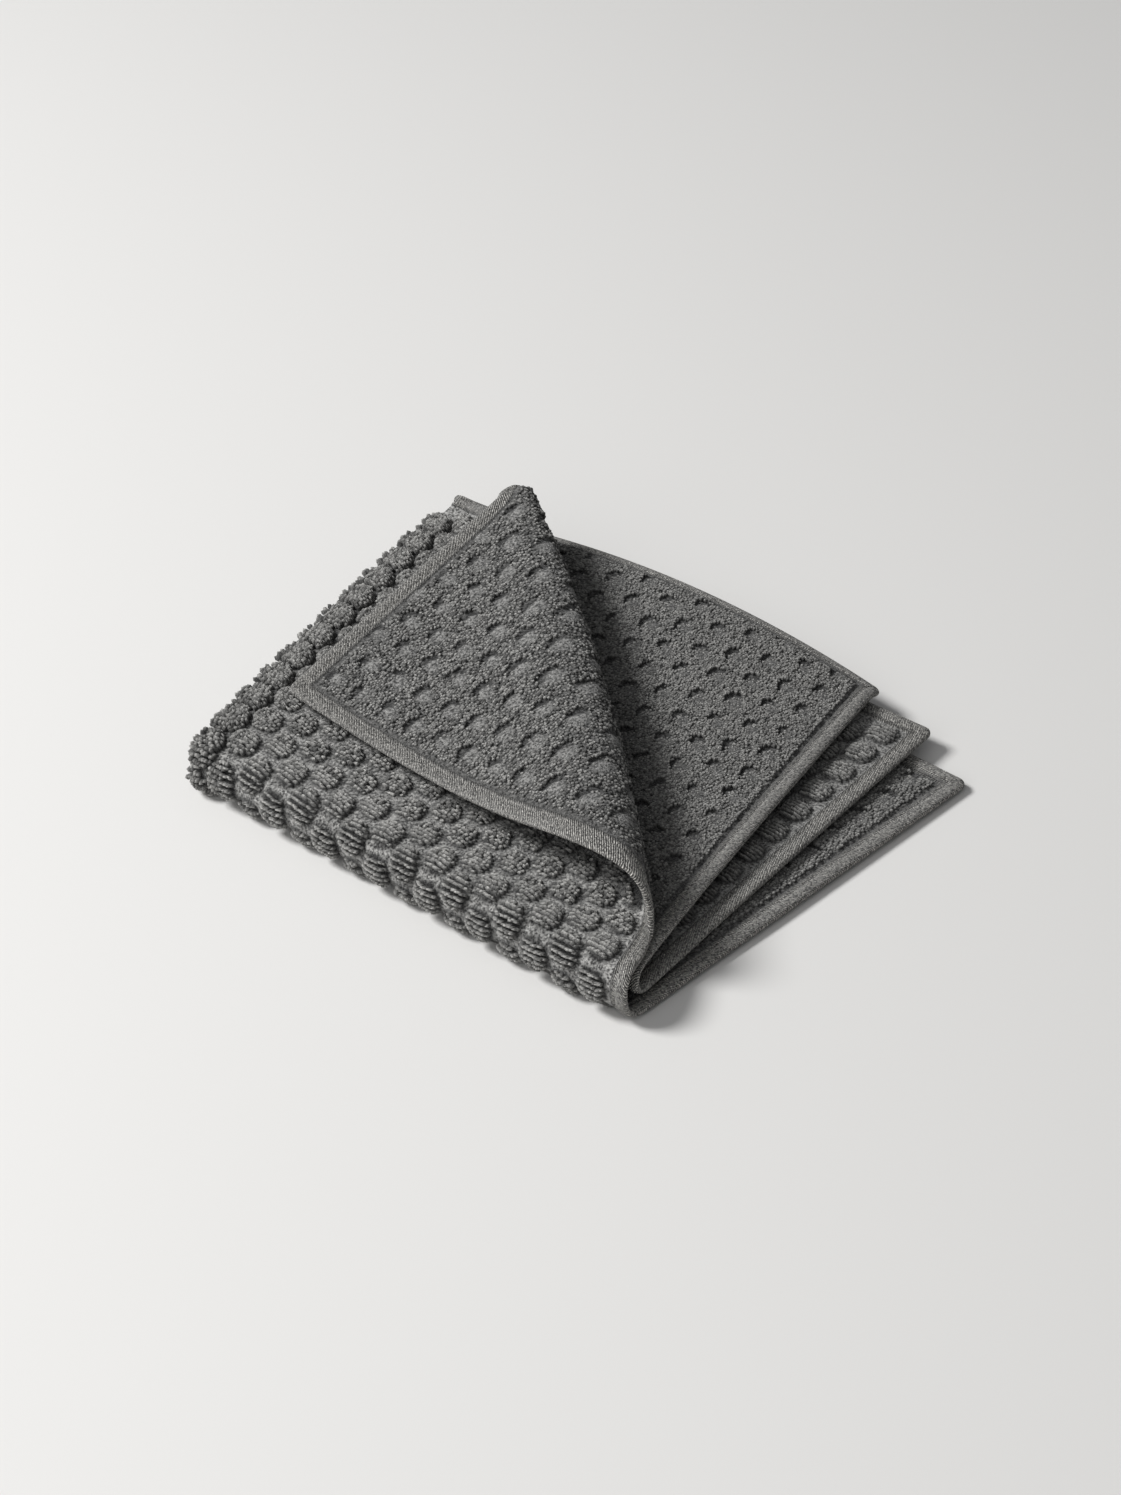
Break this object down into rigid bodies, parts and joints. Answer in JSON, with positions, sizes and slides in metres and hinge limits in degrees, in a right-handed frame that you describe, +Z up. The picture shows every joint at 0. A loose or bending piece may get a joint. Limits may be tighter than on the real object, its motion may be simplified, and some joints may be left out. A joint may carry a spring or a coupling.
{
  "type": "folded towel",
  "caption": "Small terry towel folded in quarters, with raised dots of pile on one side, flat hems all round and the top layer's corner laid back over the stack.",
  "frame": {"origin": "centre of the folded towel's bounding box, on the surface it rests on", "axes": "+X along the main fold to the side hems, +Y from the main fold to the end hems, +Z up through the layers"},
  "size_m": [0.2606, 0.2104, 0.0511],
  "materials": {
    "terry": "matte cotton loops"
  },
  "bodies": {
    "root": {"towel": "terry"}
  },
  "joints": []
}
